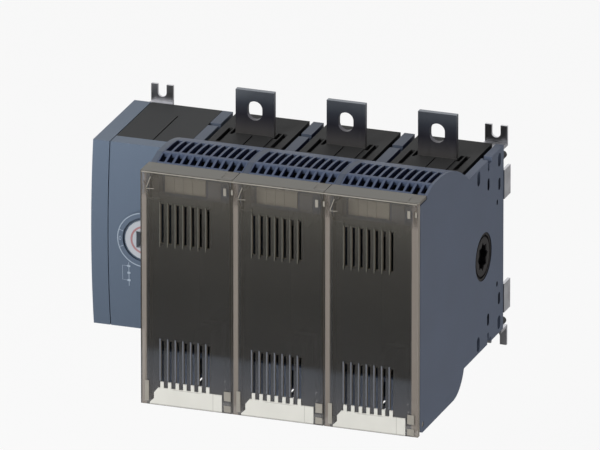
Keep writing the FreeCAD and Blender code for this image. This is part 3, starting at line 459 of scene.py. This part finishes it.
def raised_line(mesh, path, width, face, height, closed=False):
    """Adds a raised bar with bevelled edges along points (x, z) in mm, on a face at a depth in mm."""
    profile = ((-width / 2, FOOT), (-width / 2.8, -height), (width / 2.8, -height), (width / 2, FOOT))
    count = len(path)
    rows = []
    for index, (x, z) in enumerate(path):
        before = Vector(path[index - 1] if closed or index else path[0])
        after = Vector(path[(index + 1) % count] if closed or index < count - 1 else path[-1])
        way = (after - before).normalized()
        side = Vector((-way.y, way.x))
        depth = face(z) if callable(face) else face
        rows.append([
            mesh.verts.new(((x + side.x * reach) * MM, (depth + sink) * MM, (z + side.y * reach) * MM))
            for reach, sink in profile])
    for first, second in zip(rows, rows[1:] + rows[:1] if closed else rows[1:]):
        for corner in range(4):
            after = (corner + 1) % 4
            mesh.faces.new((first[corner], first[after], second[after], second[corner]))
    if not closed:
        mesh.faces.new(rows[0])
        mesh.faces.new(reversed(rows[-1]))


def add_bars(mesh, low, bars, height, lift=0.0):
    """Adds straight bars to the front of a node, or to a face that far before it.

    Each bar has x, z, end x, end z and width in mm, with X counted from the node's low corner.
    """
    left, front = low[0] / MM, low[1] / MM - lift
    for x, z, end_x, end_z, width in bars:
        raised_line(mesh, [(left + x, z), (left + end_x, end_z)], width, front, height)


def on_circle(centre, radius, angle):
    """A point of a circle at an angle in degrees from +X towards +Z."""
    turn = math.radians(angle)
    return (centre[0] + radius * math.cos(turn), centre[1] + radius * math.sin(turn))


def arc(centre, radius, start, end, steps=48):
    return [on_circle(centre, radius, start + (end - start) * step / steps) for step in range(steps + 1)]


def finish_piece(name, mesh, material, body):
    """Makes the piece and lets it ride on a body."""
    bmesh.ops.recalc_face_normals(mesh, faces=mesh.faces)
    data = bpy.data.meshes.new(name)
    mesh.to_mesh(data)
    mesh.free()
    data.materials.append(material)
    piece = bpy.data.objects.new(name, data)
    bpy.context.scene.collection.objects.link(piece)
    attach(piece, body)


def cover_piece(kind, pole, bars, material, height=COVER_MARK, lift=0.0):
    """Bars on the front of one smoked cover, which move with it."""
    mesh = bmesh.new()
    add_bars(mesh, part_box(f"fuse_cover_{pole}")[0], bars, height, lift)
    finish_piece(f"cover_{kind}_{pole}", mesh, material, f"cover_{pole}")


def cover_marks(pole):
    """The ribs beside the slots, the blocks at the foot, the corner and the painted highlights on the latch
    and top edge of one smoked cover.
    """
    cover_piece("ribs", pole, [(x, 67.8, x, 35.6, 0.9) for x in RIB_PLACES], RIB)
    cover_piece("low_ribs", pole, [(x, -31.0, x, -61.5, 1.1) for x in RIB_PLACES], LOW_RIB)
    cover_piece("foot", pole, [
        (4.6, -77.2, 4.6, -62.4, 3.0),
        (62.6, -78.6, 62.6, -74.0, 5.0),
        (62.6, -70.6, 62.6, -63.8, 5.0),
    ], RIM_AND_HIGHLIGHT)
    roof_end = 59.0 if pole == POLES[-1] else 57.0
    cover_piece("corner", pole, [(roof_end, 88.0, roof_end + 8.4, 88.0, 2.4)], CORNER, 13.0, -17.4)
    # Painted highlights: glints on the latch and its catch buttons, and a bead along the top front edge.
    cover_piece("painted_highlight", pole, [
        (7.6, 85.5, 4.6, 77.5, 0.7),
        (4.2, 76.6, 10.0, 77.0, 0.6),
        (61.0, 83.4, 61.0, 78.0, 2.2),
        (66.2, 83.0, 66.2, 79.2, 1.4),
        (1.0, 88.6, 67.0, 88.6, 0.9),
    ], RIM_AND_HIGHLIGHT)


def bay_fronts(pole):
    """The closed parts of the sill's front, which show through the cover's lower slots, in a slate painted
    paler as if lit.
    """
    sill = bmesh.new()
    add_bars(sill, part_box(f"lower_vent_{pole}")[0], [
        (15.5, -47.0, 15.5, -76.0, 25.0),
        (42.0, -47.0, 42.0, -76.0, 12.0),
    ], SILL_STEP)
    finish_piece(f"sill_front_{pole}", sill, LIT_SILL, "root")


def fuse_head(pole):
    """The ribbed pale head of the fuse bay, which shows through the top of the smoked cover."""
    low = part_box(f"upper_vent_{pole}")[0]
    head = bmesh.new()
    add_bars(head, low, [(6.0, 74.5, 35.5, 74.5, 13.0)], HEAD_STEP)
    add_bars(head, low, [(x, 68.4, x, 80.6, 1.4) for x in (12.5, 19.0, 25.5, 34.8)], HEAD_STEP, HEAD_STEP)
    finish_piece(f"fuse_head_{pole}", head, HEAD, "root")
    guide = bmesh.new()
    add_bars(guide, low, [(37.0, 73.0, 46.0, 73.0, 14.5), (1.0, 74.0, 4.0, 74.0, 13.0)], HEAD_STEP)
    finish_piece(f"fuse_guide_{pole}", guide, GUIDE, "root")


def dial_ring():
    """A muted red ring round the dial's socket, which turns with it."""
    ring = bmesh.new()
    raised_line(ring, arc(DIAL_PLACE, 9.55, 0, 352.5, 47), 1.7, DIAL_FACE, 0.12, closed=True)
    finish_piece("dial_red_ring", ring, RED, "drive_hub")


def dial_scale():
    """The scale round the dial, with 0 at its left and I at its top."""
    number_radius, half_width, half_height = 17.7, 0.75, 1.35
    scale = bmesh.new()
    raised_line(scale, arc(DIAL_PLACE, 19.5, 100, 262), 0.9, DIAL_FACE, PRINTED)
    for angle in (162, 200):
        ends = [on_circle(DIAL_PLACE, radius, angle) for radius in (16.4, 19.2)]
        raised_line(scale, ends, 0.5, DIAL_FACE, PRINTED)
    x, z = on_circle(DIAL_PLACE, number_radius, 181)
    turns = [step * math.pi / 12 for step in range(24)]
    nought = [(x + half_width * math.cos(turn), z + half_height * math.sin(turn)) for turn in turns]
    raised_line(scale, nought, 0.4, DIAL_FACE, PRINTED, closed=True)
    x, z = DIAL_PLACE[0], DIAL_PLACE[1] + number_radius
    raised_line(scale, [(x, z - half_height), (x, z + half_height)], 0.5, DIAL_FACE, PRINTED)
    finish_piece("dial_scale", scale, PRINT, "root")


def panel_face(z):
    """Depth of the drive's bulging front panel at a height, both in mm."""
    return PANEL_DEPTH + (z - DIAL_PLACE[1]) ** 2 / (2 * PANEL_RADIUS)


def drive_symbol():
    """The usual sign of a fused switch on the drive's front, below the dial."""
    x = DIAL_PLACE[0] - 12.0
    high, middle, low = -17.2, -22.3, -27.8
    sign = bmesh.new()
    raised_line(sign, [(x, -14.6), (x, -32.0)], 0.5, panel_face, PRINTED)
    for z in (high, middle, low):
        raised_line(sign, [(x - 1.1, z), (x + 1.1, z)], 1.6, panel_face, 0.2)
    bracket = [(x - 1.0, high), (x - 4.6, high), (x - 4.6, low), (x - 1.0, low)]
    raised_line(sign, bracket, 0.35, panel_face, 0.12)
    finish_piece("drive_symbol", sign, PRINT, "root")


def studio_world():
    """A white world that lights less from above, and that looks darker at the front in a reflection."""
    world = bpy.data.worlds.new("studio")
    bpy.context.scene.world = world
    world.use_nodes = True
    sky = Nodes(world.node_tree)
    light = sky.tree.nodes["Background"]
    light.inputs["Color"].default_value = WHITE
    seen = sky.add("Background", Color=WHITE)
    rays = sky.add("LightPath").outputs
    place = sky.add("TexCoord").outputs["Generated"]
    sky.join(sky.rescale(sky.axis(place, "Z"), 0.58, 0.22, 0.0, 0.9), light.inputs["Strength"])
    depth = sky.rescale(sky.axis(place, "Y"), 0.10, 1.0, -0.5, 0.4)
    sky.join(sky.maths("MAXIMUM", rays["Is Camera Ray"], depth), seen.inputs["Strength"])
    mirrored = sky.maths("MAXIMUM", rays["Is Glossy Ray"], rays["Is Transmission Ray"])
    looking = sky.maths("MAXIMUM", rays["Is Camera Ray"], mirrored)
    sky.mix_surfaces(looking, light.outputs["Background"], seen.outputs["Background"], "World Output")


def floor_material():
    """White to the eye, and still darker where the object's shadow falls."""
    material = bpy.data.materials.new("floor")
    material.use_nodes = True
    floor = Nodes(material.node_tree)
    plain = floor.tree.nodes["Principled BSDF"]
    plain.inputs["Base Color"].default_value = FLOOR_GREY
    plain.inputs["Roughness"].default_value = 0.9
    seen = floor.add("LightPath").outputs["Is Camera Ray"]
    share = floor.maths("MULTIPLY", seen, FLOOR_GLOW)
    glow = floor.add("Emission").outputs["Emission"]
    floor.mix_surfaces(share, plain.outputs["BSDF"], glow, "Material Output")
    return material


def studio_floor():
    bpy.ops.mesh.primitive_plane_add(size=8.0, location=(0.0, 0.0, FLOOR_HEIGHT))
    floor = bpy.context.object
    floor.name = "floor"
    floor.data.materials.append(floor_material())


def area_lamp(name, place, size, power):
    """A round soft lamp, turned to the object."""
    data = bpy.data.lights.new(name, "AREA")
    data.shape = "DISK"
    data.size = size
    data.energy = power
    lamp = bpy.data.objects.new(name, data)
    lamp.location = place
    lamp.rotation_euler = (Vector(LAMP_TARGET) - Vector(place)).to_track_quat("-Z", "Y").to_euler()
    bpy.context.scene.collection.objects.link(lamp)


def studio():
    """A white studio with three soft lamps."""
    studio_world()
    studio_floor()
    for lamp in LAMPS:
        area_lamp(*lamp)


def camera():
    """A camera far off with a long lens, looking down at the front from its right."""
    data = bpy.data.cameras.new("camera")
    data.lens = CAMERA_LENS
    data.sensor_width = 36.0
    data.clip_end = 40.0
    eye = bpy.data.objects.new("camera", data)
    way = Vector((
        math.sin(CAMERA_AZIMUTH) * math.cos(CAMERA_ELEVATION),
        -math.cos(CAMERA_AZIMUTH) * math.cos(CAMERA_ELEVATION),
        math.sin(CAMERA_ELEVATION),
    ))
    eye.location = CAMERA_TARGET + way * CAMERA_DISTANCE
    eye.rotation_euler = (-way).to_track_quat("-Z", "Y").to_euler()
    bpy.context.scene.collection.objects.link(eye)
    bpy.context.scene.camera = eye


dress_frame()
for pole in POLES:
    cover_marks(pole)
    fuse_head(pole)
    bay_fronts(pole)
dial_ring()
dial_scale()
drive_symbol()
studio()
camera()
bpy.context.scene.view_settings.view_transform = "Standard"
